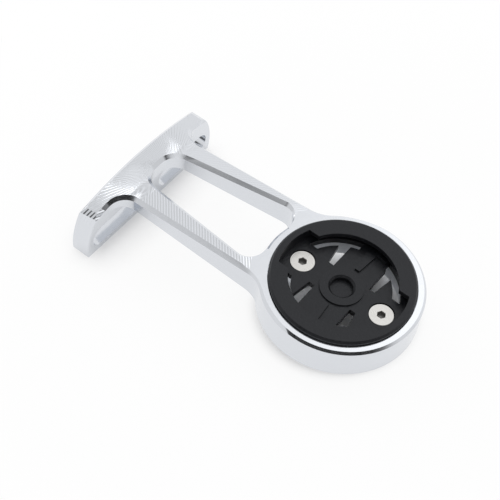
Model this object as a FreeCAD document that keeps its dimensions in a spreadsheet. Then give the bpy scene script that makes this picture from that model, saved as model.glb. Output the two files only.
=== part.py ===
"""An out-front bicycle computer mount, in millimetres.

The ring's axis is Z and its underside lies at Z = 0. X points forward, from the bolting plate to the
ring, and the mount is symmetric about the XZ plane.
"""
import FreeCAD, Part
import math
import os
import Sketcher

Vector = FreeCAD.Vector

DIMENSIONS = (
    ("ring_wall", 2.0, "thickness of the ring's wall beside the insert"),
    ("ring_height", 9.0, "height of the ring"),
    ("reach", 62.4, "ring axis to the back of the plate"),
    ("plate_thickness", 5.0, "thickness of the bolting plate"),
    ("plate_drop", 10.0, "how far the plate hangs below the ring"),
    ("plate_spare", 2.1, "material over the plate that the crowned top trims away"),
    ("end_radius", 20.0, "radius of the plate's bulging ends"),
    ("end_centre_out", 3.9, "centre of an end's arc, sideways"),
    ("end_centre_down", 12.9, "centre of an end's arc, below the crossbar's back edge"),
    ("slot_inner", 3.0, "middle plane to the inner end of a slot"),
    ("slot_web", 1.8, "material between a slot and the plate's end, at the widest"),
    ("slot_width", 6.6, "height of a bolt slot"),
    ("slot_height", -5.1, "height of the slots' centre line"),
    ("rise_end", 30.2053, "ring axis to where the crowned top would reach the ring's height"),
    ("crown_radius", 80.0, "radius of the crowned top, across the mount"),
    ("rise_angle", 5.5, "climb of the crowned top towards the ring, degrees"),
    ("arm_floor", 1.9, "underside of the arms"),
    ("arm_outer_rear", 12.0, "outer wall of an arm, at the plate"),
    ("arm_outer_front", 12.7, "outer wall of an arm, inside the ring"),
    ("bar_depth", 6.7, "back of the plate to the gap between the arms"),
    ("arm_width_rear", 6.7, "width of an arm beside the gap's rear wall"),
    ("arm_width_front", 2.4, "width of an arm where the gap ends inside the ring"),
    ("ear_fillet", 4.5, "fillet between the plate and an arm's outer wall"),
    ("gap_fillet", 4.5, "fillet in the gap's rear corners"),
    ("root_fillet", 8.0, "fillet between an arm's outer wall and the ring"),
    ("crotch_fillet", 4.2, "fillet between an arm's inner wall and the ring"),
    ("edge_chamfer", 0.9, "chamfer round the crowned top"),
    ("ring_chamfer", 0.6, "chamfer round the ring's upper edge"),
    ("foot_chamfer", 0.4, "chamfer round the ring's lower edge"),
    ("insert_radius", 17.75, "outer radius of the insert"),
    ("insert_gap", 0.15, "clearance round the insert"),
    ("insert_proud", 1.2, "how far the insert stands above the ring"),
    ("insert_chamfer", 0.5, "chamfer on the insert's top edge"),
    ("tray_depth", 3.3, "top of the insert down to its floor"),
    ("tray_thickness", 1.6, "thickness of the insert's floor"),
    ("ledge_width", 2.75, "how far the ledge reaches in under the insert"),
    ("socket_wall", 1.95, "wall of the insert beside the socket"),
    ("lip_width", 2.6, "how far the lips reach in over the socket"),
    ("lip_thickness", 1.3, "thickness of the lips"),
    ("notch_half", 6.2, "half width of an entry notch"),
    ("boss_radius", 5.4, "radius of the boss round the centre hole"),
    ("boss_height", 0.4, "height of the boss"),
    ("hole_radius", 2.8, "radius of the centre hole"),
    ("hole_lead", 0.5, "lead-in chamfer of the centre hole"),
    ("hole_skin", 0.45, "material left under the centre hole"),
    ("wedge_near", 6.2, "inner end of a wedge-shaped rib"),
    ("wedge_far", 12.3, "outer end of a wedge-shaped rib"),
    ("wedge_near_half", 0.65, "half width of a rib, at its inner end"),
    ("wedge_far_half", 1.25, "half width of a rib, at its outer end"),
    ("wedge_height", 0.5, "height of a rib over the insert's floor"),
    ("cut_near", 5.15, "inner side of a flap's cut, off the screws' line"),
    ("cut_width", 1.6, "width of the straight part of a flap's cut"),
    ("cut_start", 3.85, "inner end of a flap's cut"),
    ("cut_flare", 0.85, "how much the straight part widens towards the lips"),
    ("cut_inside", 1.1, "lips' edge to the inner side of the curved part of a cut"),
    ("cut_outside", 0.9, "lips' edge to the outer side of the curved part of a cut"),
    ("cut_low", 5.2, "screws' line to the end of the curved part"),
    ("cut_end", 3.2, "middle plane to the other end of the curved part"),
    ("cut_end_by_click", 4.6, "the same end, beside a click ridge"),
    ("click_start", 1.3, "middle plane to the near end of a click ridge"),
    ("click_width", 0.5, "width of a click ridge"),
    ("click_height", 0.7, "height of a click ridge over the insert's floor"),
    ("click_inset", 0.6, "lips' edge to the inner side of a click ridge"),
    ("screw_inset", 6.25, "rim of the insert to the middle of a screw"),
    ("screw_radius", 1.5, "radius of a screw's thread"),
    ("screw_length", 6.0, "length of a screw, head and all"),
    ("head_radius", 2.95, "radius of a screw's head"),
    ("head_rim", 0.1, "straight rim of a screw's head"),
    ("recess_radius", 3.2, "radius of the recess round a screw's head"),
    ("key_flats", 2.0, "hexagon socket of a screw, across its flats"),
    ("key_depth", 1.2, "depth of the hexagon socket"),
    ("screw_fit", 0.05, "clearance round a screw"),
    ("head_sink", 0.25, "how far a screw's head lies below the insert's floor"),
    ("passage_radius", 1.8, "radius of the insert's screw holes"),
    ("tap_chamfer", 0.3, "chamfer at the mouth of a lug's screw hole"),
    ("lug_half", 4.2, "half width of a screw lug"),
    ("lug_thickness", 4.0, "thickness of a screw lug"),
)

document = FreeCAD.newDocument("computer_mount")
sheet = document.addObject("Spreadsheet::Sheet", "Dimensions")
for row, (alias, number, meaning) in enumerate(DIMENSIONS, 1):
    sheet.set("A%d" % row, meaning)
    sheet.set("B%d" % row, str(number))
    sheet.setAlias("B%d" % row, alias)
document.recompute()


def cell(alias):
    """The sheet's name for one dimension, for use in an expression."""
    return "Dimensions." + alias


def size(alias):
    """One dimension as a number."""
    return float(sheet.get(alias))


def value(expression):
    """The number that an expression over the sheet's dimensions comes to."""
    return float(sheet.evalExpression(expression))


BORE_RADIUS = "(%s + %s)" % (cell("insert_radius"), cell("insert_gap"))
RING_RADIUS = "(%s + %s)" % (BORE_RADIUS, cell("ring_wall"))
INSERT_TOP = "(%s + %s)" % (cell("ring_height"), cell("insert_proud"))
TRAY_TOP = "(%s - %s)" % (INSERT_TOP, cell("tray_depth"))
SEAT = "(%s - %s)" % (TRAY_TOP, cell("tray_thickness"))
SOCKET_RADIUS = "(%s - %s)" % (cell("insert_radius"), cell("socket_wall"))
LIP_RADIUS = "(%s - %s)" % (SOCKET_RADIUS, cell("lip_width"))
LEDGE_RADIUS = "(%s - %s)" % (cell("insert_radius"), cell("ledge_width"))
SCREW_OUT = "(%s - %s)" % (cell("insert_radius"), cell("screw_inset"))
HEAD_TOP = "(%s - %s)" % (TRAY_TOP, cell("head_sink"))
BLANK_HEIGHT = "(2 * %s)" % cell("ring_height")
REAR = "-" + cell("reach")
RISE = "((%s - %s) * tan(%s * 1 deg))" % (cell("reach"), cell("rise_end"), cell("rise_angle"))
BAR_TOP = "(%s - %s)" % (cell("ring_height"), RISE)
END_CENTRE = "(%s - %s)" % (BAR_TOP, cell("end_centre_down"))
GAP_REAR = "(%s - %s)" % (cell("reach"), cell("bar_depth"))
ARMS_END = "(%s / 2)" % RING_RADIUS
GAP_END = "(%s * 0.8)" % RING_RADIUS
GAP_HALF_REAR = "(%s - %s)" % (cell("arm_outer_rear"), cell("arm_width_rear"))
GAP_HALF_FRONT = "(%s - %s)" % (cell("arm_outer_front"), cell("arm_width_front"))


def new_body(label):
    """An empty body whose label names its file."""
    body = document.addObject("PartDesign::Body", label)
    body.Label = label
    return body


def origin_feature(body, role):
    """One of a body's own origin planes or axes."""
    return next(item for item in body.Origin.OriginFeatures if item.Role == role)


def new_sketch(body, name, role, height=None):
    """A sketch on one of the body's planes, or parallel to it at a height given by an expression."""
    sketch = body.newObject("Sketcher::SketchObject", name)
    sketch.AttachmentSupport = (origin_feature(body, role), [""])
    sketch.MapMode = "FlatFace"
    if height is not None:
        sketch.setExpression("AttachmentOffset.Base.z", height)
    return sketch


def place_along(sketch, kind, geometry, point, expression):
    """Hold one coordinate of a point of a sketch at an expression."""
    position = sketch.getPoint(geometry, point)
    start = position.x if kind == "DistanceX" else position.y
    index = sketch.addConstraint(Sketcher.Constraint(kind, -1, 1, geometry, point, start))
    sketch.setExpression("Constraints[%d]" % index, expression)


def place_point(sketch, geometry, point, across, up):
    """Hold a point of a sketch at two coordinates, each an expression."""
    place_along(sketch, "DistanceX", geometry, point, across)
    place_along(sketch, "DistanceY", geometry, point, up)


def hold_radius(sketch, geometry, expression):
    """Hold the radius of a circle or an arc at an expression."""
    radius = sketch.Geometry[geometry].Radius
    index = sketch.addConstraint(Sketcher.Constraint("Radius", geometry, radius))
    sketch.setExpression("Constraints[%d]" % index, expression)


def join(sketch, pieces):
    """Close a chain of lines and arcs, the end of each meeting the start of the next."""
    for first, second in zip(pieces, pieces[1:] + pieces[:1]):
        sketch.addConstraint(Sketcher.Constraint("Coincident", first, 2, second, 1))


def centred_arc(sketch, start, end, radius):
    """An arc about the origin from one place to another, the short way, and the order of its ends."""
    begin = math.atan2(start.y, start.x)
    turn = (math.atan2(end.y, end.x) - begin + math.pi) % (2 * math.pi) - math.pi
    index = arc(sketch, Vector(0, 0, 0), start.Length, min(begin, begin + turn), max(begin, begin + turn))
    sketch.addConstraint(Sketcher.Constraint("Coincident", index, 3, -1, 1))
    hold_radius(sketch, index, radius)
    return (index, 1, 2) if turn > 0 else (index, 2, 1)


def outline(sketch, corners, arcs=None):
    """A closed outline through corners given as pairs of expressions.

    Its sides are straight, but for those numbered in arcs, which are arcs about the origin with the
    radius given there. A corner on an arc is held along one axis, because the radius holds the other.
    """
    arcs = arcs or {}
    places = [Vector(value(across), value(up), 0) for across, up in corners]
    chain = []
    for n, (start, end) in enumerate(zip(places, places[1:] + places[:1])):
        if n in arcs:
            chain.append(centred_arc(sketch, start, end, arcs[n]))
        else:
            chain.append((sketch.addGeometry(Part.LineSegment(start, end), False), 1, 2))
    for first, second in zip(chain, chain[1:] + chain[:1]):
        sketch.addConstraint(Sketcher.Constraint("Coincident", first[0], first[2], second[0], second[1]))
    for n, ((across, up), place) in enumerate(zip(corners, places)):
        on_arc = n in arcs or (n - 1) % len(corners) in arcs
        steep = abs(place.y) > abs(place.x)
        if steep or not on_arc:
            place_along(sketch, "DistanceX", chain[n][0], chain[n][1], across)
        if not (steep and on_arc):
            place_along(sketch, "DistanceY", chain[n][0], chain[n][1], up)


def circle(sketch, radius, across=None, up=None):
    """A circle about the origin, or about a centre given by expressions."""
    centre = Vector(0, 0, 0) if across is None else Vector(1, 1, 0)
    index = sketch.addGeometry(Part.Circle(centre, Vector(0, 0, 1), 10), False)
    if across is None:
        sketch.addConstraint(Sketcher.Constraint("Coincident", index, 3, -1, 1))
    else:
        place_point(sketch, index, 3, across, up)
    hold_radius(sketch, index, radius)


def arc(sketch, centre, radius, start, end):
    """An arc drawn anticlockwise between two angles in radians."""
    whole = Part.Circle(centre, Vector(0, 0, 1), radius)
    return sketch.addGeometry(Part.ArcOfCircle(whole, start, end), False)


def bridge(sketch, first, first_point, second, second_point):
    """A straight line between the ends of two pieces of a sketch."""
    start = sketch.getPoint(first, first_point)
    end = sketch.getPoint(second, second_point)
    return sketch.addGeometry(Part.LineSegment(start, end), False)


def pad(body, name, sketch, length):
    """Add material from a sketch."""
    feature = body.newObject("PartDesign::Pad", name)
    feature.Profile = sketch
    feature.setExpression("Length", length)
    document.recompute()
    return feature


def pocket(body, name, sketch, length=None, side="One side", reverse=False):
    """Cut a sketch from the body, to a depth or through everything, and check that it cuts."""
    document.recompute()
    before = body.Shape.Volume
    feature = body.newObject("PartDesign::Pocket", name)
    feature.Profile = sketch
    feature.SideType = side
    feature.Reversed = reverse
    if length is None:
        feature.Type = "ThroughAll"
    else:
        feature.setExpression("Length", length)
    document.recompute()
    if not body.Shape.Volume < before - 1e-3:
        raise RuntimeError("%s cuts nothing" % name)
    return feature


def spin(body, name, sketch):
    """Add material by turning a sketch of the XZ plane round the Z axis."""
    feature = body.newObject("PartDesign::Revolution", name)
    feature.Profile = sketch
    feature.ReferenceAxis = (origin_feature(body, "Z_Axis"), [""])
    feature.Angle = 360
    document.recompute()
    return feature


def edges_where(feature, test):
    """The names of a feature's edges that pass a test."""
    return ["Edge%d" % n for n, edge in enumerate(feature.Shape.Edges, 1) if test(edge)]


def dress(body, kind, name, edges, length):
    """Fillet or chamfer edges of a body's newest feature."""
    base = body.Tip
    feature = body.newObject("PartDesign::" + kind, name)
    feature.Base = (base, edges)
    feature.setExpression("Radius" if kind == "Fillet" else "Size", length)
    document.recompute()
    return feature


def is_upright(edge):
    """Whether an edge is a straight line along Z."""
    if not isinstance(edge.Curve, Part.Line):
        return False
    return abs(abs(edge.Curve.Direction.z) - 1) < 1e-6


def round_corners(body, name, x, y, radius):
    """Fillet the two upright edges at a place in plan, one on either side of the mount."""
    def is_wanted(edge):
        middle = edge.CenterOfMass
        return is_upright(edge) and math.hypot(middle.x - x, abs(middle.y) - y) < 0.01

    edges = edges_where(body.Tip, is_wanted)
    if len(edges) != 2:
        raise RuntimeError("%s finds %d edges" % (name, len(edges)))
    dress(body, "Fillet", name, edges, radius)


def beside_ring(rear, front, radius):
    """The centre of a fillet between an arm's wall and the ring, or their corner where the radius is 0.

    The wall runs straight from rear to front; a negative radius puts the fillet inside the gap.
    """
    length = math.hypot(front[0] - rear[0], front[1] - rear[1])
    along = ((front[0] - rear[0]) / length, (front[1] - rear[1]) / length)
    offset = rear[1] * along[0] - rear[0] * along[1] + radius
    behind = math.sqrt((value(RING_RADIUS) + abs(radius)) ** 2 - offset ** 2)
    return -offset * along[1] - behind * along[0], offset * along[0] - behind * along[1]


def groove(body, name, sketch, angle):
    """Cut a sketch of the XZ plane from the body, turned both ways round the Z axis."""
    before = body.Shape.Volume
    feature = body.newObject("PartDesign::Groove", name)
    feature.Profile = sketch
    feature.ReferenceAxis = (origin_feature(body, "Z_Axis"), [""])
    feature.Midplane = True
    feature.Angle = angle
    document.recompute()
    if not body.Shape.Volume < before - 1e-3:
        raise RuntimeError("%s cuts nothing" % name)


def build_arm():
    """The machined arm: bolting plate, two arms and the ring, in one piece."""
    body = new_body("mount_arm")
    arms = new_sketch(body, "arm_outline", "XY_Plane", cell("arm_floor"))
    outline(arms, (
        (REAR, "-" + cell("arm_outer_rear")),
        ("-" + ARMS_END, "-" + cell("arm_outer_front")),
        ("-" + ARMS_END, cell("arm_outer_front")),
        (REAR, cell("arm_outer_rear")),
    ))
    pad(body, "arm_block", arms, BLANK_HEIGHT + " - " + cell("arm_floor"))

    plate = new_sketch(body, "plate_outline", "YZ_Plane", REAR)
    draw_plate(plate)
    pad(body, "plate", plate, cell("plate_thickness"))

    gap = new_sketch(body, "gap_outline", "XY_Plane", cell("arm_floor"))
    outline(gap, (
        ("-" + GAP_REAR, "-" + GAP_HALF_REAR),
        ("-" + GAP_END, "-" + GAP_HALF_FRONT),
        ("-" + GAP_END, GAP_HALF_FRONT),
        ("-" + GAP_REAR, GAP_HALF_REAR),
    ))
    pocket(body, "gap", gap, BLANK_HEIGHT, reverse=True)

    ring = new_sketch(body, "ring_outline", "XY_Plane")
    circle(ring, RING_RADIUS)
    pad(body, "ring", ring, BLANK_HEIGHT)

    outer_wall = (
        (-size("reach"), size("arm_outer_rear")),
        (-value(ARMS_END), size("arm_outer_front")),
    )
    inner_wall = (
        (-value(GAP_REAR), value(GAP_HALF_REAR)),
        (-value(GAP_END), value(GAP_HALF_FRONT)),
    )
    ear_x = size("plate_thickness") - size("reach")
    ear_share = size("plate_thickness") / (size("reach") - value(ARMS_END))
    ear_y = size("arm_outer_rear") + ear_share * (size("arm_outer_front") - size("arm_outer_rear"))
    root = beside_ring(*outer_wall, 0)
    crotch = beside_ring(*inner_wall, 0)
    round_corners(body, "ear_round", ear_x, ear_y, cell("ear_fillet"))
    round_corners(body, "gap_round", *inner_wall[0], cell("gap_fillet"))
    round_corners(body, "root_round", *root, cell("root_fillet"))
    round_corners(body, "crotch_round", *crotch, cell("crotch_fillet"))

    crown = new_sketch(body, "crown_line", "YZ_Plane", REAR)
    crown.setExpression("AttachmentOffset.Base.y", BAR_TOP)
    crown.AttachmentOffset = FreeCAD.Placement(
        crown.AttachmentOffset.Base, FreeCAD.Rotation(Vector(1, 0, 0), -size("rise_angle"))
    )
    crown.setExpression("AttachmentOffset.Rotation.Angle", "-" + cell("rise_angle"))
    draw_crown(crown)
    pocket(body, "crown", crown, side="Symmetric")
    crown_edges = edges_where(body.Tip, lambda edge: borders_crown(body.Tip.Shape, edge))
    dress(body, "Chamfer", "crown_chamfer", crown_edges, cell("edge_chamfer"))

    level = new_sketch(body, "level_outline", "XY_Plane", cell("ring_height"))
    circle(level, cell("reach"))
    pocket(body, "level", level, reverse=True)

    root = beside_ring(*outer_wall, size("root_fillet"))
    crotch = beside_ring(*inner_wall, -size("crotch_fillet"))
    for name, side, angle in (
        ("outer_rim", "", 360 - 2 * math.degrees(math.atan2(root[1], -root[0]))),
        ("gap_rim", "-", 2 * math.degrees(math.atan2(crotch[1], -crotch[0]))),
    ):
        rim = new_sketch(body, name + "_outline", "XZ_Plane")
        outline(rim, (
            (side + RING_RADIUS, cell("ring_height") + " - " + cell("ring_chamfer")),
            (side + "(%s + %s)" % (RING_RADIUS, cell("ring_chamfer")), cell("ring_height")),
            (side + "(%s - %s)" % (RING_RADIUS, cell("ring_chamfer")), cell("ring_height")),
        ))
        groove(body, name, rim, angle)

    chamfer_mouths(body, "foot_chamfer", value(RING_RADIUS), 0, cell("foot_chamfer"))

    seat_bore = new_sketch(body, "seat_bore", "XY_Plane", cell("ring_height"))
    circle(seat_bore, BORE_RADIUS)
    pocket(body, "seat", seat_bore, cell("ring_height") + " - " + SEAT)

    ledge_bore = new_sketch(body, "ledge_bore", "XY_Plane", cell("ring_height"))
    circle(ledge_bore, LEDGE_RADIUS)
    pocket(body, "ledge", ledge_bore)

    lugs = new_sketch(body, "lug_outline", "XY_Plane", SEAT)
    taps = new_sketch(body, "tap_circles", "XY_Plane", SEAT)
    for side in ("-", ""):
        draw_lug(lugs, side)
        circle(taps, cell("screw_radius") + " + " + cell("screw_fit"), side + SCREW_OUT, "0")
    pad(body, "lugs", lugs, cell("lug_thickness")).Reversed = True
    pocket(body, "taps", taps, cell("lug_thickness"))
    tap_radius = size("screw_radius") + size("screw_fit")
    chamfer_mouths(body, "tap_mouths", tap_radius, value(SEAT), cell("tap_chamfer"))

    slots = new_sketch(body, "slot_outline", "YZ_Plane", REAR)
    for side in ("-", ""):
        draw_slot(slots, side)
    pocket(body, "slots", slots, cell("plate_thickness"), reverse=True)
    return body


def chamfer_mouths(body, name, radius, height, length):
    """Chamfer the round edges of one radius at one height."""
    def is_wanted(edge):
        return is_round(edge, radius) and abs(edge.CenterOfMass.z - height) < 1e-6

    edges = edges_where(body.Tip, is_wanted)
    if not edges:
        raise RuntimeError("%s finds no edge" % name)
    dress(body, "Chamfer", name, edges, length)


def is_round(edge, radius):
    """Whether an edge is a circle of a given radius, or a part of one."""
    return isinstance(edge.Curve, Part.Circle) and abs(edge.Curve.Radius - radius) < 1e-6


def borders_crown(shape, edge):
    """Whether an edge lies between the crowned top and a wall."""
    radii = [
        face.Surface.Radius
        for face in shape.ancestorsOfType(edge, Part.Face)
        if isinstance(face.Surface, Part.Cylinder)
    ]
    return any(abs(radius - size("crown_radius")) < 1e-6 for radius in radii)


def draw_lug(sketch, side):
    """A screw lug from above: a round nose about its screw, and straight sides out to the ring's wall."""
    sign = -1 if side else 1
    middle = 0 if side else math.pi
    hub = side + SCREW_OUT
    nose = arc(sketch, Vector(10 * sign, 0, 0), 4, middle - math.pi / 2, middle + math.pi / 2)
    begin = sketch.getPoint(nose, 1)
    end = sketch.getPoint(nose, 2)
    far_end = Vector(15 * sign, end.y, 0)
    far_begin = Vector(15 * sign, begin.y, 0)
    first = sketch.addGeometry(Part.LineSegment(end, far_end), False)
    back = sketch.addGeometry(Part.LineSegment(far_end, far_begin), False)
    second = sketch.addGeometry(Part.LineSegment(far_begin, begin), False)
    sketch.addConstraint(Sketcher.Constraint("Tangent", nose, 2, first, 1))
    sketch.addConstraint(Sketcher.Constraint("Tangent", second, 2, nose, 1))
    sketch.addConstraint(Sketcher.Constraint("Coincident", first, 2, back, 1))
    sketch.addConstraint(Sketcher.Constraint("Coincident", back, 2, second, 1))
    sketch.addConstraint(Sketcher.Constraint("Horizontal", first))
    sketch.addConstraint(Sketcher.Constraint("Horizontal", second))
    sketch.addConstraint(Sketcher.Constraint("Vertical", back))
    place_point(sketch, nose, 3, hub, "0")
    hold_radius(sketch, nose, cell("lug_half"))
    place_along(sketch, "DistanceX", back, 1, "%s(%s + %s) / 2" % (side, LEDGE_RADIUS, RING_RADIUS))


def draw_slot(sketch, side):
    """A bolt slot of the plate: two round ends joined by straight sides."""
    sign = -1 if side else 1
    radius = cell("slot_width") + " / 2"
    near = "%s(%s + %s)" % (side, cell("slot_inner"), radius)
    half_length = "%s + %s" % (cell("end_centre_out"), cell("end_radius"))
    far = "%s(%s - %s - %s)" % (side, half_length, cell("slot_web"), radius)
    places = sorted(((6 * sign, near), (18 * sign, far)))
    left = arc(sketch, Vector(places[0][0], -5, 0), 3, math.pi / 2, 3 * math.pi / 2)
    right = arc(sketch, Vector(places[1][0], -5, 0), 3, -math.pi / 2, math.pi / 2)
    lower = bridge(sketch, left, 2, right, 1)
    upper = bridge(sketch, right, 2, left, 1)
    chain = [left, lower, right, upper]
    for first, second in zip(chain, chain[1:] + chain[:1]):
        sketch.addConstraint(Sketcher.Constraint("Tangent", first, 2, second, 1))
    for end, (_, place) in zip((left, right), places):
        place_point(sketch, end, 3, place, cell("slot_height"))
        hold_radius(sketch, end, radius)


def draw_plate(sketch):
    """The plate from the front: a flat foot and two bulging ends, taller than the crown that trims it."""
    foot_line = Part.LineSegment(Vector(-20, -10, 0), Vector(20, -10, 0))
    foot = sketch.addGeometry(foot_line, False)
    right = arc(sketch, Vector(0.5, -5, 0), 20, -0.25, 0.78)
    top = sketch.addGeometry(Part.LineSegment(Vector(15, 9, 0), Vector(-15, 9, 0)), False)
    left = arc(sketch, Vector(-0.5, -5, 0), 20, math.pi - 0.78, math.pi + 0.25)
    join(sketch, [foot, right, top, left])
    sketch.addConstraint(Sketcher.Constraint("Horizontal", foot))
    sketch.addConstraint(Sketcher.Constraint("Horizontal", top))
    place_point(sketch, right, 3, cell("end_centre_out"), END_CENTRE)
    place_point(sketch, left, 3, "-" + cell("end_centre_out"), END_CENTRE)
    hold_radius(sketch, right, cell("end_radius"))
    hold_radius(sketch, left, cell("end_radius"))
    place_along(sketch, "DistanceY", foot, 1, "-" + cell("plate_drop"))
    place_along(sketch, "DistanceY", top, 1, BAR_TOP + " + " + cell("plate_spare"))


def draw_crown(sketch):
    """All that lies above a shallow arch across the mount."""
    half = 30.0
    tall = 20.0
    radius = size("crown_radius")
    rim = math.sqrt(radius ** 2 - half ** 2) - radius
    left_foot = Vector(-half, rim, 0)
    right_foot = Vector(half, rim, 0)
    left_top = Vector(-half, tall, 0)
    right_top = Vector(half, tall, 0)
    arch = sketch.addGeometry(Part.Arc(right_foot, Vector(0, 0, 0), left_foot), False)
    left = sketch.addGeometry(Part.LineSegment(left_foot, left_top), False)
    top = sketch.addGeometry(Part.LineSegment(left_top, right_top), False)
    right = sketch.addGeometry(Part.LineSegment(right_top, right_foot), False)
    join(sketch, [arch, left, top, right])
    hold_radius(sketch, arch, cell("crown_radius"))
    place_point(sketch, arch, 3, "0", "-" + cell("crown_radius"))


def build_insert():
    """The quarter-turn insert: a round tray whose lips hold the device, screwed into the ring."""
    body = new_body("quarter_turn_insert")
    profile = new_sketch(body, "insert_profile", "XZ_Plane")
    lip_floor = "%s - %s" % (INSERT_TOP, cell("lip_thickness"))
    outline(profile, (
        ("0", SEAT),
        (cell("insert_radius"), SEAT),
        (cell("insert_radius"), INSERT_TOP + " - " + cell("insert_chamfer")),
        (cell("insert_radius") + " - " + cell("insert_chamfer"), INSERT_TOP),
        (LIP_RADIUS, INSERT_TOP),
        (LIP_RADIUS, lip_floor),
        (SOCKET_RADIUS, lip_floor),
        (SOCKET_RADIUS, TRAY_TOP),
        ("0", TRAY_TOP),
    ))
    spin(body, "tray", profile)

    notch = new_sketch(body, "notch_outline", "XY_Plane", INSERT_TOP)
    half = cell("notch_half")
    notch_end = "sqrt(%s ^ 2 - %s ^ 2)" % (SOCKET_RADIUS, half)
    outline(notch, (
        (notch_end, "-" + half), (notch_end, half), ("-" + notch_end, half), ("-" + notch_end, "-" + half)
    ), {0: SOCKET_RADIUS, 2: SOCKET_RADIUS})
    pocket(body, "notches", notch, cell("lip_thickness"))

    boss = new_sketch(body, "boss_outline", "XY_Plane", TRAY_TOP)
    circle(boss, cell("boss_radius"))
    pad(body, "boss", boss, cell("boss_height"))
    boss_top = TRAY_TOP + " + " + cell("boss_height")
    hole = new_sketch(body, "hole_circle", "XY_Plane", boss_top)
    circle(hole, cell("hole_radius"))
    pocket(body, "hole", hole, "%s - %s - %s" % (boss_top, SEAT, cell("hole_skin")))
    chamfer_mouths(body, "hole_mouth", size("hole_radius"), value(boss_top), cell("hole_lead"))

    ribs = new_sketch(body, "rib_outline", "XY_Plane", TRAY_TOP)
    for side in ("", "-"):
        outline(ribs, (
            ("-" + cell("wedge_near_half"), side + cell("wedge_near")),
            (cell("wedge_near_half"), side + cell("wedge_near")),
            (cell("wedge_far_half"), side + cell("wedge_far")),
            ("-" + cell("wedge_far_half"), side + cell("wedge_far")),
        ))
    pad(body, "ribs", ribs, cell("wedge_height"))

    clicks = new_sketch(body, "click_outline", "XY_Plane", TRAY_TOP)
    for side in ("", "-"):
        draw_click(clicks, side)
    pad(body, "click_ridges", clicks, cell("click_height"))

    cuts = new_sketch(body, "cut_outline", "XY_Plane", TRAY_TOP)
    for across, up in (("", ""), ("-", ""), ("-", "-"), ("", "-")):
        draw_cut(cuts, across, up)
    pocket(body, "cuts", cuts, cell("tray_thickness"))

    recesses = new_sketch(body, "recess_circles", "XY_Plane", TRAY_TOP)
    holes = new_sketch(body, "screw_hole_circles", "XY_Plane", TRAY_TOP)
    for side in ("-", ""):
        circle(recesses, cell("recess_radius"), side + SCREW_OUT, "0")
        circle(holes, cell("passage_radius"), side + SCREW_OUT, "0")
    recess_depth = "%s + %s" % (cell("head_sink"), cell("head_rim"))
    pocket(body, "recesses", recesses, recess_depth)
    pocket(body, "screw_holes", holes, cell("tray_thickness"))
    recess_floor = value(TRAY_TOP) - value(recess_depth)
    countersink = "%s + %s - %s" % (cell("head_radius"), cell("screw_fit"), cell("passage_radius"))
    chamfer_mouths(body, "countersinks", size("passage_radius"), recess_floor, countersink)
    return body


def draw_click(sketch, side):
    """A ridge on the floor, concentric with the lips, that the device's foot clicks over."""
    inner = "(%s - %s)" % (LIP_RADIUS, cell("click_inset"))
    outer = "(%s + %s)" % (inner, cell("click_width"))
    far = "(%s - %s)" % (cell("cut_end_by_click"), cell("click_width"))
    outline(sketch, (
        (side + cell("click_start"), "%ssqrt(%s ^ 2 - %s ^ 2)" % (side, inner, cell("click_start"))),
        (side + far, "%ssqrt(%s ^ 2 - %s ^ 2)" % (side, inner, far)),
        (side + far, "%ssqrt(%s ^ 2 - %s ^ 2)" % (side, outer, far)),
        (side + cell("click_start"), "%ssqrt(%s ^ 2 - %s ^ 2)" % (side, outer, cell("click_start"))),
    ), {0: inner, 2: outer})


def draw_cut(sketch, across, up):
    """The cut that frees a flap of the floor: a straight slot that runs into a curved one.

    The curved part ends nearer the middle plane where no click ridge stands beside it.
    """
    inner = "(%s - %s)" % (LIP_RADIUS, cell("cut_inside"))
    outer = "(%s + %s)" % (LIP_RADIUS, cell("cut_outside"))
    near = cell("cut_near")
    far = "(%s + %s)" % (near, cell("cut_width"))
    flared = "(%s + %s)" % (far, cell("cut_flare"))
    low = cell("cut_low")
    end = cell("cut_end_by_click") if across == up else cell("cut_end")
    corners = (
        (near, cell("cut_start")),
        (far, cell("cut_start")),
        (flared, "sqrt(%s ^ 2 - %s ^ 2)" % (inner, flared)),
        ("sqrt(%s ^ 2 - %s ^ 2)" % (inner, low), low),
        ("sqrt(%s ^ 2 - %s ^ 2)" % (outer, low), low),
        (end, "sqrt(%s ^ 2 - %s ^ 2)" % (outer, end)),
        (end, "sqrt(%s ^ 2 - %s ^ 2)" % (inner, end)),
        (near, "sqrt(%s ^ 2 - %s ^ 2)" % (inner, near)),
    )
    placed = [(across + x, up + y) for x, y in corners]
    outline(sketch, placed, {2: inner, 4: outer, 6: inner})


def build_screw(label, side):
    """A countersunk socket screw, its head flush with the insert's floor."""
    body = new_body(label)
    profile = new_sketch(body, label + "_profile", "XZ_Plane")
    cone = "%s - %s" % (cell("head_radius"), cell("screw_radius"))
    shank_top = "-%s - (%s)" % (cell("head_rim"), cone)
    outline(profile, (
        ("0", "-" + cell("screw_length")),
        (cell("screw_radius"), "-" + cell("screw_length")),
        (cell("screw_radius"), shank_top),
        (cell("head_radius"), "-" + cell("head_rim")),
        (cell("head_radius"), "0"),
        ("0", "0"),
    ))
    spin(body, label + "_turned", profile)
    key = new_sketch(body, label + "_key", "XY_Plane")
    corner = cell("key_flats") + " / sqrt(3)"
    outline(key, [
        ("%s * cos(%d deg)" % (corner, 60 * n), "%s * sin(%d deg)" % (corner, 60 * n)) for n in range(6)
    ])
    pocket(body, label + "_key_pocket", key, cell("key_depth"))
    body.setExpression("Placement.Base.x", side + SCREW_OUT)
    body.setExpression("Placement.Base.z", HEAD_TOP)
    return body


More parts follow.
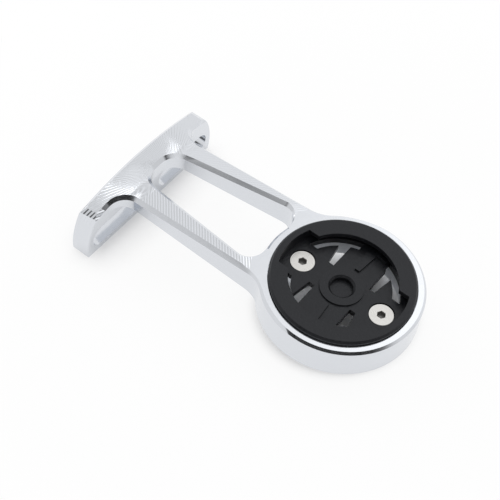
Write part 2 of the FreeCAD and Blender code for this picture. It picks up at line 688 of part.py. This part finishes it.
bodies = [
    build_arm(),
    build_insert(),
    build_screw("screw_rear", "-"),
    build_screw("screw_front", ""),
]
document.recompute()
for item in document.Objects:
    if "Invalid" in item.State or "Error" in item.State:
        raise RuntimeError("%s is not valid" % item.Name)
os.makedirs("parts", exist_ok=True)
for body in bodies:
    if body.Shape.isNull() or not body.Shape.isValid():
        raise RuntimeError("%s has no valid shape" % body.Label)
    body.Shape.exportStep("parts/%s.step" % body.Label)
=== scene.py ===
"""The looks of an out-front bicycle computer mount: machined aluminium, a black socket and two screws.

The mount keeps the frame of its solids: Z is the ring's axis and X points from the bolting plate to
the ring. It rests on the lower edge of the plate and the front of the ring, so the floor is tilted.
"""
import math

import bpy
import numpy as np
from bpy.props import FloatProperty, FloatVectorProperty, PointerProperty
from mathutils import Matrix, Vector


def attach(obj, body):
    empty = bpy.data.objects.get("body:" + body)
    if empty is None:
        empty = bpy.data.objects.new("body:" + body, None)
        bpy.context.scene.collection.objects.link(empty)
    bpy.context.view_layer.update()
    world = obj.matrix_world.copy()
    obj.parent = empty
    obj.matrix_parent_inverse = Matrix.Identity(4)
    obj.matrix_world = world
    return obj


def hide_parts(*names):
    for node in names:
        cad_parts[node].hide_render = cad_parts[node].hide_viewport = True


bl_info = {
    "name": "Bicycle computer mount",
    "version": (1, 0, 0),
    "blender": (4, 5, 0),
    "location": "3D View > Sidebar > Mount",
    "description": "Gives an out-front bicycle computer mount its finishes and its studio",
    "category": "Object",
}

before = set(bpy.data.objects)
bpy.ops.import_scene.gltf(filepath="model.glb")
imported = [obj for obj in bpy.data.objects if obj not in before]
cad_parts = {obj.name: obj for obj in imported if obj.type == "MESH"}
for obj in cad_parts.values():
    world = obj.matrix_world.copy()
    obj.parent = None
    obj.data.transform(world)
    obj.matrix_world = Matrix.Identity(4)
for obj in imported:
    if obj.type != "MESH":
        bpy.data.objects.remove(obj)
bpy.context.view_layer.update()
MILLIMETRE = 0.001


class MountFinish(bpy.types.PropertyGroup):
    """The finishes of the mount's pieces."""

    aluminium_colour: FloatVectorProperty(
        name="Aluminium colour", description="Colour of the machined aluminium",
        default=(0.71, 0.73, 0.765), subtype="COLOR", size=3, min=0.0, max=1.0,
    )
    aluminium_roughness: FloatProperty(
        name="Aluminium roughness", description="Roughness of the machined walls",
        default=0.14, min=0.02, max=1.0, subtype="FACTOR",
    )
    pass_spacing: FloatProperty(
        name="Pass spacing", description="Distance between two passes of the ball cutter",
        default=0.85 * MILLIMETRE, min=0.2 * MILLIMETRE, max=3.0 * MILLIMETRE, unit="LENGTH",
    )
    pass_depth: FloatProperty(
        name="Pass depth", description="Depth of the ripples that the ball cutter leaves",
        default=0.015 * MILLIMETRE, min=0.0, max=0.1 * MILLIMETRE, unit="LENGTH",
    )
    step_spacing: FloatProperty(
        name="Step spacing", description="Distance between two steps on the plate's corner chamfers",
        default=0.95 * MILLIMETRE, min=0.2 * MILLIMETRE, max=3.0 * MILLIMETRE, unit="LENGTH",
    )
    plastic_colour: FloatVectorProperty(
        name="Socket colour", description="Colour of the moulded socket",
        default=(0.006, 0.0065, 0.008), subtype="COLOR", size=3, min=0.0, max=1.0,
    )
    plastic_roughness: FloatProperty(
        name="Socket roughness", description="Roughness of the moulded socket",
        default=0.36, min=0.02, max=1.0, subtype="FACTOR",
    )
    steel_colour: FloatVectorProperty(
        name="Screw colour", description="Colour of the stainless screws",
        default=(0.62, 0.61, 0.59), subtype="COLOR", size=3, min=0.0, max=1.0,
    )
    steel_roughness: FloatProperty(
        name="Screw roughness", description="Roughness of the stainless screws",
        default=0.295, min=0.02, max=1.0, subtype="FACTOR",
    )


class MountStudio(bpy.types.PropertyGroup):
    """The floor, the light and the camera."""

    floor_colour: FloatVectorProperty(
        name="Floor colour", description="Colour of the floor",
        default=(0.97, 0.97, 0.97), subtype="COLOR", size=3, min=0.0, max=1.0,
    )
    floor_tilt: FloatProperty(
        name="Floor tilt", description="Lean of the mount on its plate's lower edge",
        default=math.radians(7.354), subtype="ANGLE", unit="ROTATION",
    )
    floor_offset: FloatProperty(
        name="Floor offset", description="Height of the floor along its own normal",
        default=-2.56 * MILLIMETRE, unit="LENGTH",
    )
    sky_strength: FloatProperty(
        name="Sky strength", description="Strength of the surrounding light",
        default=1.13, min=0.0, max=2.0,
    )
    lamp_power: FloatProperty(
        name="Lamp power", description="Power of the low lamp behind the plate",
        default=1.2, min=0.0, max=10.0, unit="POWER",
    )
    lens: FloatProperty(
        name="Lens", description="Focal length of the camera",
        default=115.83, min=20.0, max=300.0, unit="CAMERA",
    )


def node_tree_of(material):
    """The material's nodes and links, emptied but for a Principled shader and the output."""
    material.use_nodes = True
    tree = material.node_tree
    tree.nodes.clear()
    output = tree.nodes.new("ShaderNodeOutputMaterial")
    shader = tree.nodes.new("ShaderNodeBsdfPrincipled")
    tree.links.new(shader.outputs["BSDF"], output.inputs["Surface"])
    return tree, shader


def place_on_piece(tree):
    """Where a point lies in the mount's frame, as a vector and as its X, Y and Z."""
    coordinates = tree.nodes.new("ShaderNodeTexCoord")
    split = tree.nodes.new("ShaderNodeSeparateXYZ")
    tree.links.new(coordinates.outputs["Object"], split.inputs["Vector"])
    along, across, up = (split.outputs[axis] for axis in "XYZ")
    return coordinates.outputs["Object"], along, across, up


def maths(tree, operation, first, second=None, third=None):
    """A Math node whose inputs are sockets or plain numbers."""
    node = tree.nodes.new("ShaderNodeMath")
    node.operation = operation
    for index, value in enumerate((first, second, third)):
        if value is None:
            continue
        if isinstance(value, (int, float)):
            node.inputs[index].default_value = value
        else:
            tree.links.new(value, node.inputs[index])
    return node.outputs[0]


def smooth_step(tree, value, start, end):
    """A smooth ramp from 0 where the value is at its start to 1 at its end, rising or falling."""
    node = tree.nodes.new("ShaderNodeMapRange")
    node.interpolation_type = "SMOOTHSTEP"
    node.inputs["From Min"].default_value = start
    node.inputs["From Max"].default_value = end
    tree.links.new(value, node.inputs["Value"])
    return node.outputs["Result"]


def wave(tree, travel, spacing):
    """A sine wave from -1 to 1 that comes round once for each spacing travelled."""
    return maths(tree, "SINE", maths(tree, "MULTIPLY", travel, 2.0 * math.pi / spacing))


def distance_from(tree, one, two):
    """The length of the hypotenuse over two legs."""
    squared = maths(tree, "MULTIPLY_ADD", one, one, maths(tree, "MULTIPLY", two, two))
    return maths(tree, "SQRT", squared)


def noise(tree, place, scale, detail):
    """A cloudy noise about 0.5, with about as many clouds to the metre as its scale says."""
    node = tree.nodes.new("ShaderNodeTexNoise")
    node.inputs["Scale"].default_value = scale
    node.inputs["Detail"].default_value = detail
    tree.links.new(place, node.inputs["Vector"])
    return node.outputs["Fac"]


def roughen(tree, shader, grain, roughness, spread):
    """Lets the shader's roughness vary with the grain, by the spread about its middle."""
    varied = maths(tree, "MULTIPLY_ADD", grain, spread, roughness - spread / 2.0)
    tree.links.new(varied, shader.inputs["Roughness"])


def emboss(tree, shader, height, depth, strength=1.0):
    """Bends the shader's normal by a height, of which 1 is as deep as the depth says."""
    bump = tree.nodes.new("ShaderNodeBump")
    bump.inputs["Strength"].default_value = strength
    bump.inputs["Distance"].default_value = depth
    tree.links.new(height, bump.inputs["Height"])
    tree.links.new(bump.outputs["Normal"], shader.inputs["Normal"])


def marked(tree, name):
    """1 on the faces that mark_faces gave this mark, and 0 on the others."""
    node = tree.nodes.new("ShaderNodeAttribute")
    node.attribute_name = name
    return node.outputs["Fac"]


def cutter_passes(tree, spacing):
    """The ripples of the ball cutter, as a wave from -1 to 1.

    Along the arms the passes slant outwards and forwards. Behind the gap they fan out about the middle
    of its rounded end, so the wave's phase is the angle there, and the slant fades over a few millimetres.
    A noise makes them waver.
    """
    fan_middle = -51.2 * MILLIMETRE
    fan_radius = 18.0 * MILLIMETRE
    slope = 0.84
    slant_fades_over = 4.0 * MILLIMETRE
    waver = 0.2 * MILLIMETRE
    place, along, across, _ = place_on_piece(tree)
    side = maths(tree, "ABSOLUTE", across)
    back = maths(tree, "MAXIMUM", maths(tree, "SUBTRACT", fan_middle, along), 0.0)
    slant = maths(tree, "MULTIPLY", smooth_step(tree, back, slant_fades_over, 0.0), side)
    travel = maths(tree, "MAXIMUM", along, fan_middle)
    travel = maths(tree, "MULTIPLY_ADD", slant, -slope, travel)
    travel = maths(tree, "MULTIPLY_ADD", maths(tree, "ARCTAN2", back, side), -fan_radius, travel)
    clouds = noise(tree, place, scale=350.0, detail=2.0)
    travel = maths(tree, "MULTIPLY_ADD", clouds, waver, travel)
    return wave(tree, travel, spacing)


def pass_strength(tree):
    """How deep the passes are: shallow on the far arm, full on the near one, most on the crossbar."""
    on_far_arm = 0.4
    on_near_arm = 1.0
    blend_half_width = 4.0 * MILLIMETRE
    bar_front = -51.0 * MILLIMETRE
    bar_full = -56.0 * MILLIMETRE
    _, along, across, _ = place_on_piece(tree)
    nearness = smooth_step(tree, across, blend_half_width, -blend_half_width)
    on_arms = maths(tree, "MULTIPLY_ADD", nearness, on_near_arm - on_far_arm, on_far_arm)
    return maths(tree, "ADD", smooth_step(tree, along, bar_front, bar_full), on_arms)


def corner_steps(tree, spacing):
    """The steps on the plate's corner chamfers, as a wave from -1 to 1 that leans with the side."""
    lean = 0.35
    _, along, across, _ = place_on_piece(tree)
    travel = maths(tree, "MULTIPLY_ADD", maths(tree, "ABSOLUTE", across), lean, along)
    return wave(tree, travel, spacing)


def machined_aluminium(finish):
    """Bright machined aluminium with the cutter's passes on the crowned top and steps at its ends."""
    step_height = 3.5
    grain_height = 0.1
    material = bpy.data.materials.new("machined_aluminium")
    tree, shader = node_tree_of(material)
    shader.inputs["Metallic"].default_value = 1.0
    shader.inputs["Base Color"].default_value = (*finish.aluminium_colour, 1.0)
    place, *_ = place_on_piece(tree)
    grain = noise(tree, place, scale=700.0, detail=4.0)
    roughen(tree, shader, grain, finish.aluminium_roughness, spread=0.12)
    passes = maths(tree, "MULTIPLY", cutter_passes(tree, finish.pass_spacing), pass_strength(tree))
    passes = maths(tree, "MULTIPLY", passes, marked(tree, "crowned_top"))
    steps = maths(tree, "MULTIPLY", corner_steps(tree, finish.step_spacing), marked(tree, "stepped_end"))
    height = maths(tree, "MULTIPLY_ADD", steps, step_height, passes)
    height = maths(tree, "MULTIPLY_ADD", grain, grain_height, height)
    emboss(tree, shader, height, finish.pass_depth)
    return material


def moulded_plastic(finish):
    """Black plastic with a fine moulded grain."""
    grain_depth = 0.07 * MILLIMETRE
    material = bpy.data.materials.new("moulded_black_plastic")
    tree, shader = node_tree_of(material)
    shader.inputs["Base Color"].default_value = (*finish.plastic_colour, 1.0)
    shader.inputs["IOR"].default_value = 1.5
    shader.inputs["Specular IOR Level"].default_value = 0.36
    shader.inputs["Specular Tint"].default_value = (0.93, 0.95, 1.0, 1.0)
    place, *_ = place_on_piece(tree)
    grain = noise(tree, place, scale=1800.0, detail=4.0)
    roughen(tree, shader, grain, finish.plastic_roughness, spread=0.4)
    emboss(tree, shader, grain, grain_depth, strength=0.8)
    return material


def stainless_steel(finish):
    """Bright steel with the fine rings that turning leaves round each screw's axis, and painted shade in
    the hex sockets of the heads.
    """
    screw_out = 11.5 * MILLIMETRE
    ring_spacing = 0.35 * MILLIMETRE
    ring_depth = 0.006 * MILLIMETRE
    grain_height = 1.5
    hexagon_outside = 1.4 * MILLIMETRE
    hexagon_inside = 1.3 * MILLIMETRE
    below_head = 6.5 * MILLIMETRE
    in_socket = 6.1 * MILLIMETRE
    socket_shade = 0.3
    material = bpy.data.materials.new("stainless_steel")
    tree, shader = node_tree_of(material)
    shader.inputs["Metallic"].default_value = 1.0
    place, along, across, up = place_on_piece(tree)
    grain = noise(tree, place, scale=1500.0, detail=3.0)
    roughen(tree, shader, grain, finish.steel_roughness, spread=0.15)
    from_screw = maths(tree, "SUBTRACT", maths(tree, "ABSOLUTE", along), screw_out)
    radius = distance_from(tree, from_screw, across)
    # Painted shade: inside the hex socket of each head, below its top, the steel's colour is darkened by
    # the socket shade
    inside = smooth_step(tree, radius, hexagon_outside, hexagon_inside)
    sunk = smooth_step(tree, up, below_head, in_socket)
    # The Mix node's colour sockets share their names with its other sockets, so they go by number
    shade = tree.nodes.new("ShaderNodeMix")
    shade.data_type = "RGBA"
    tree.links.new(maths(tree, "MULTIPLY", inside, sunk), shade.inputs["Factor"])
    shade.inputs[6].default_value = (*finish.steel_colour, 1.0)
    shade.inputs[7].default_value = (*(socket_shade * part for part in finish.steel_colour), 1.0)
    tree.links.new(shade.outputs[2], shader.inputs["Base Color"])
    height = maths(tree, "MULTIPLY_ADD", grain, grain_height, wave(tree, radius, ring_spacing))
    emboss(tree, shader, height, ring_depth)
    return material


def dressed_copy(node_name, material, crease):
    """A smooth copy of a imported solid, which stands for it.

    Its loose triangles are merged, its faces are shaded smooth, and every edge sharper than the
    crease angle stays sharp. Large flat faces keep their own normals.
    """
    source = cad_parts[node_name]
    mesh = source.data.copy()
    mesh.name = node_name + "_dressed"
    piece = bpy.data.objects.new(node_name + "_dressed", mesh)
    bpy.context.scene.collection.objects.link(piece)
    weld = piece.modifiers.new("weld", "WELD")
    weld.merge_threshold = 1e-7
    with bpy.context.temp_override(object=piece, active_object=piece):
        bpy.ops.object.modifier_apply(modifier=weld.name)
    mesh = piece.data
    # The solid's own normals are those of its triangles, and would outlive the merge
    if "custom_normal" in mesh.attributes:
        mesh.attributes.remove(mesh.attributes["custom_normal"])
    mesh.materials.clear()
    mesh.materials.append(material)
    mesh.shade_smooth()
    mesh.set_sharp_from_angle(angle=crease)
    even = piece.modifiers.new("even_normals", "WEIGHTED_NORMAL")
    even.keep_sharp = True
    even.weight = 100
    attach(piece, "root")
    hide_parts(node_name)
    return piece


def mark_faces(piece):
    """Face attributes that say where the crowned top and its stepped ends are.

    The crowned top is what faces up behind the ring. The ends are its chamfers far out to the sides.
    """
    level = 0.93
    steep = 0.3
    top_above = 1.5 * MILLIMETRE
    behind_ring = -20.0 * MILLIMETRE
    end_outward = 18.5 * MILLIMETRE
    end_behind = -50.0 * MILLIMETRE
    faces = piece.data.polygons
    normals = np.empty(len(faces) * 3, dtype=np.float32)
    centres = np.empty(len(faces) * 3, dtype=np.float32)
    faces.foreach_get("normal", normals)
    faces.foreach_get("center", centres)
    upward = normals.reshape(-1, 3)[:, 2]
    along, across, height = centres.reshape(-1, 3).T
    outward = np.abs(across)
    is_top = (upward > level) & (height > top_above) & (along < behind_ring)
    is_end = (upward > steep) & (upward < level) & (height > 0.0)
    is_end &= (outward > end_outward) & (along < end_behind)
    for name, chosen in (("crowned_top", is_top), ("stepped_end", is_end)):
        attribute = piece.data.attributes.new(name, "FLOAT", "FACE")
        attribute.data.foreach_set("value", chosen.astype(np.float32))


class MOUNT_OT_arm(bpy.types.Operator):
    """Dress the machined arm"""

    bl_idname = "mount.arm"
    bl_label = "Arm"

    def execute(self, context):
        aluminium = machined_aluminium(context.scene.mount_finish)
        mark_faces(dressed_copy("mount_arm", aluminium, crease=math.radians(18)))
        return {"FINISHED"}


class MOUNT_OT_socket(bpy.types.Operator):
    """Dress the quarter-turn socket"""

    bl_idname = "mount.socket"
    bl_label = "Socket"

    def execute(self, context):
        plastic = moulded_plastic(context.scene.mount_finish)
        dressed_copy("quarter_turn_insert", plastic, crease=math.radians(25))
        return {"FINISHED"}


class MOUNT_OT_screws(bpy.types.Operator):
    """Dress the two screws"""

    bl_idname = "mount.screws"
    bl_label = "Screws"

    def execute(self, context):
        steel = stainless_steel(context.scene.mount_finish)
        for name in ("screw_rear", "screw_front"):
            dressed_copy(name, steel, crease=math.radians(25))
        return {"FINISHED"}


def dark_band(tree, along, across, up):
    """1 in the dark band, which lies half-way up on the near side of the room, and 0 elsewhere.

    The limits of its height are parts of a unit vector, as are those of room_level.
    """
    band_azimuth = math.radians(-53)
    fully_beside = math.radians(60)
    not_beside = math.radians(74)
    azimuth = maths(tree, "ARCTAN2", across, along)
    swing = maths(tree, "ABSOLUTE", maths(tree, "SUBTRACT", azimuth, band_azimuth))
    beside = smooth_step(tree, swing, not_beside, fully_beside)
    under_its_top = smooth_step(tree, up, start=0.68, end=0.60)
    over_its_foot = smooth_step(tree, up, start=0.34, end=0.42)
    return maths(tree, "MULTIPLY", beside, maths(tree, "MULTIPLY", under_its_top, over_its_foot))


def room_level(tree, direction):
    """How bright the room is in a direction.

    Its walls are pale, with a glow overhead, brighter above the front and on the far side. The dark
    band takes most of that away, and the horizon below it is white.
    """
    glow_direction = (-0.08, 0.45, 0.89)
    wall_level = 0.86
    glow_level = 0.22
    front_level = 0.45
    side_level = 0.18
    band_depth = 0.97
    split = tree.nodes.new("ShaderNodeSeparateXYZ")
    tree.links.new(direction, split.inputs["Vector"])
    along, across, up = (split.outputs[axis] for axis in "XYZ")
    towards_glow = tree.nodes.new("ShaderNodeVectorMath")
    towards_glow.operation = "DOT_PRODUCT"
    towards_glow.inputs[1].default_value = glow_direction
    tree.links.new(direction, towards_glow.inputs[0])
    glow = smooth_step(tree, towards_glow.outputs["Value"], start=0.82, end=0.96)
    forward = smooth_step(tree, along, start=-0.27, end=-0.19)
    high = smooth_step(tree, up, start=0.68, end=0.76)
    side = smooth_step(tree, across, start=0.5, end=0.7)
    horizon = smooth_step(tree, up, start=0.36, end=0.30)
    level = maths(tree, "MULTIPLY_ADD", glow, glow_level, wall_level)
    level = maths(tree, "MULTIPLY_ADD", maths(tree, "MULTIPLY", forward, high), front_level, level)
    level = maths(tree, "MULTIPLY_ADD", side, side_level, level)
    kept = maths(tree, "MULTIPLY_ADD", dark_band(tree, along, across, up), -band_depth, 1.0)
    return maths(tree, "MAXIMUM", maths(tree, "MULTIPLY", level, kept), horizon)


def surrounding_light(studio):
    """The light of a pale room, which depends on its direction alone."""
    world = bpy.context.scene.world or bpy.data.worlds.new("studio")
    bpy.context.scene.world = world
    world.use_nodes = True
    tree = world.node_tree
    tree.nodes.clear()
    output = tree.nodes.new("ShaderNodeOutputWorld")
    coordinates = tree.nodes.new("ShaderNodeTexCoord")
    room = tree.nodes.new("ShaderNodeBackground")
    level = room_level(tree, coordinates.outputs["Generated"])
    tree.links.new(maths(tree, "MULTIPLY", level, studio.sky_strength), room.inputs["Strength"])
    tree.links.new(room.outputs["Background"], output.inputs["Surface"])


def floor_square(studio):
    """A wide flat square under the mount, turned by the floor's tilt about Y."""
    reach = 1.5
    tilt = studio.floor_tilt
    along = Vector((math.cos(tilt), 0.0, math.sin(tilt)))
    across = Vector((0.0, 1.0, 0.0))
    middle = along.cross(across) * studio.floor_offset
    corners = [
        middle + along * (reach * one) + across * (reach * two)
        for one, two in ((-1, -1), (1, -1), (1, 1), (-1, 1))
    ]
    mesh = bpy.data.meshes.new("floor")
    mesh.from_pydata([tuple(corner) for corner in corners], [], [(0, 1, 2, 3)])
    mesh.update()
    return mesh


def whiteness(tree):
    """How much of the floor is plain white to the eye, so that only the mount's own shadow is grey.

    It is least under the ring and under the plate's foot, and most far from both. The ramp at the foot
    starts below 0, so that the floor is a little white there already.
    """
    foot_place = -58.0 * MILLIMETRE
    foot_half_width = 18.0 * MILLIMETRE
    foot_ramp = (-4.0 * MILLIMETRE, 12.0 * MILLIMETRE)
    ring_ramp = (15.0 * MILLIMETRE, 22.0 * MILLIMETRE)
    far_ramp = (70.0 * MILLIMETRE, 130.0 * MILLIMETRE)
    near_share = 0.88
    far_share = 0.12
    _, along, across, _ = place_on_piece(tree)
    from_ring = distance_from(tree, along, across)
    behind = maths(tree, "SUBTRACT", along, foot_place)
    beside = maths(tree, "SUBTRACT", maths(tree, "ABSOLUTE", across), foot_half_width)
    from_foot = distance_from(tree, behind, maths(tree, "MAXIMUM", beside, 0.0))
    outside_ring = smooth_step(tree, from_ring, *ring_ramp)
    outside_foot = smooth_step(tree, from_foot, *foot_ramp)
    outside_both = maths(tree, "MINIMUM", outside_ring, outside_foot)
    share = maths(tree, "MULTIPLY", smooth_step(tree, from_ring, *far_ramp), far_share)
    return maths(tree, "MULTIPLY_ADD", outside_both, near_share, share)


def pale_floor(studio):
    """The floor, which takes the mount's shadow and is close to white to the eye and in reflections."""
    mesh = floor_square(studio)
    floor = bpy.data.objects.new("floor", mesh)
    bpy.context.scene.collection.objects.link(floor)
    material = bpy.data.materials.new("pale_floor")
    tree, shader = node_tree_of(material)
    shader.inputs["Base Color"].default_value = (*studio.floor_colour, 1.0)
    shader.inputs["Roughness"].default_value = 1.0
    shader.inputs["Specular IOR Level"].default_value = 0.0
    path = tree.nodes.new("ShaderNodeLightPath")
    seen = maths(tree, "MAXIMUM", path.outputs["Is Camera Ray"], path.outputs["Is Glossy Ray"])
    seen = maths(tree, "MAXIMUM", seen, path.outputs["Is Transmission Ray"])
    white = tree.nodes.new("ShaderNodeEmission")
    white.inputs["Strength"].default_value = 1.0
    mix = tree.nodes.new("ShaderNodeMixShader")
    tree.links.new(maths(tree, "MULTIPLY", seen, whiteness(tree)), mix.inputs["Fac"])
    tree.links.new(shader.outputs["BSDF"], mix.inputs[1])
    tree.links.new(white.outputs["Emission"], mix.inputs[2])
    tree.links.new(mix.outputs["Shader"], tree.nodes["Material Output"].inputs["Surface"])
    mesh.materials.append(material)


def low_lamp(studio):
    """A square area lamp, low behind the plate, that looks at the middle of the mount."""
    place = Vector((-0.9, 0.25, 0.3))
    aim = Vector((-20.0 * MILLIMETRE, 0.0, 0.0))
    data = bpy.data.lights.new("key", "AREA")
    data.shape = "SQUARE"
    data.size = 0.5
    data.energy = studio.lamp_power
    light = bpy.data.objects.new("key", data)
    light.location = place
    light.rotation_euler = (aim - place).to_track_quat("-Z", "Y").to_euler()
    bpy.context.scene.collection.objects.link(light)


def fitted_camera(studio):
    """A camera that was fitted to the ring, the screws and the plate, with its own right and up."""
    place = Vector((0.0886114, -0.2025254, 0.3148926))
    right = Vector((0.7886153, 0.6064048, 0.1017799))
    up = Vector((-0.5413178, 0.6061710, 0.5826936))
    data = bpy.data.cameras.new("camera")
    data.sensor_width = 36.0
    data.lens = studio.lens
    data.clip_start = 0.01
    camera = bpy.data.objects.new("camera", data)
    turn = Matrix((right, up, right.cross(up))).transposed().to_4x4()
    camera.matrix_world = Matrix.Translation(place) @ turn
    bpy.context.scene.collection.objects.link(camera)
    bpy.context.scene.camera = camera


class MOUNT_OT_studio(bpy.types.Operator):
    """Set up the floor, the light and the camera"""

    bl_idname = "mount.studio"
    bl_label = "Studio"

    def execute(self, context):
        studio = context.scene.mount_studio
        context.scene.view_settings.view_transform = "Standard"
        surrounding_light(studio)
        pale_floor(studio)
        low_lamp(studio)
        fitted_camera(studio)
        return {"FINISHED"}


class MOUNT_PT_panel(bpy.types.Panel):
    """Lists the mount's pieces and its studio"""

    bl_idname = "MOUNT_PT_panel"
    bl_label = "Bicycle computer mount"
    bl_space_type = "VIEW_3D"
    bl_region_type = "UI"
    bl_category = "Mount"

    def draw(self, context):
        layout = self.layout
        for settings in (context.scene.mount_finish, context.scene.mount_studio):
            box = layout.box()
            for name in settings.__annotations__:
                box.prop(settings, name)
        for operator in (MOUNT_OT_arm, MOUNT_OT_socket, MOUNT_OT_screws, MOUNT_OT_studio):
            layout.operator(operator.bl_idname)


CLASSES = (
    MountFinish,
    MountStudio,
    MOUNT_OT_arm,
    MOUNT_OT_socket,
    MOUNT_OT_screws,
    MOUNT_OT_studio,
    MOUNT_PT_panel,
)


def register():
    for item in CLASSES:
        bpy.utils.register_class(item)
    bpy.types.Scene.mount_finish = PointerProperty(type=MountFinish)
    bpy.types.Scene.mount_studio = PointerProperty(type=MountStudio)


def unregister():
    del bpy.types.Scene.mount_studio
    del bpy.types.Scene.mount_finish
    for item in reversed(CLASSES):
        bpy.utils.unregister_class(item)


def main():
    """Register the add-on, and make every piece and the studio."""
    register()
    bpy.ops.mount.arm()
    bpy.ops.mount.socket()
    bpy.ops.mount.screws()
    bpy.ops.mount.studio()


if __name__ == "__main__":
    main()
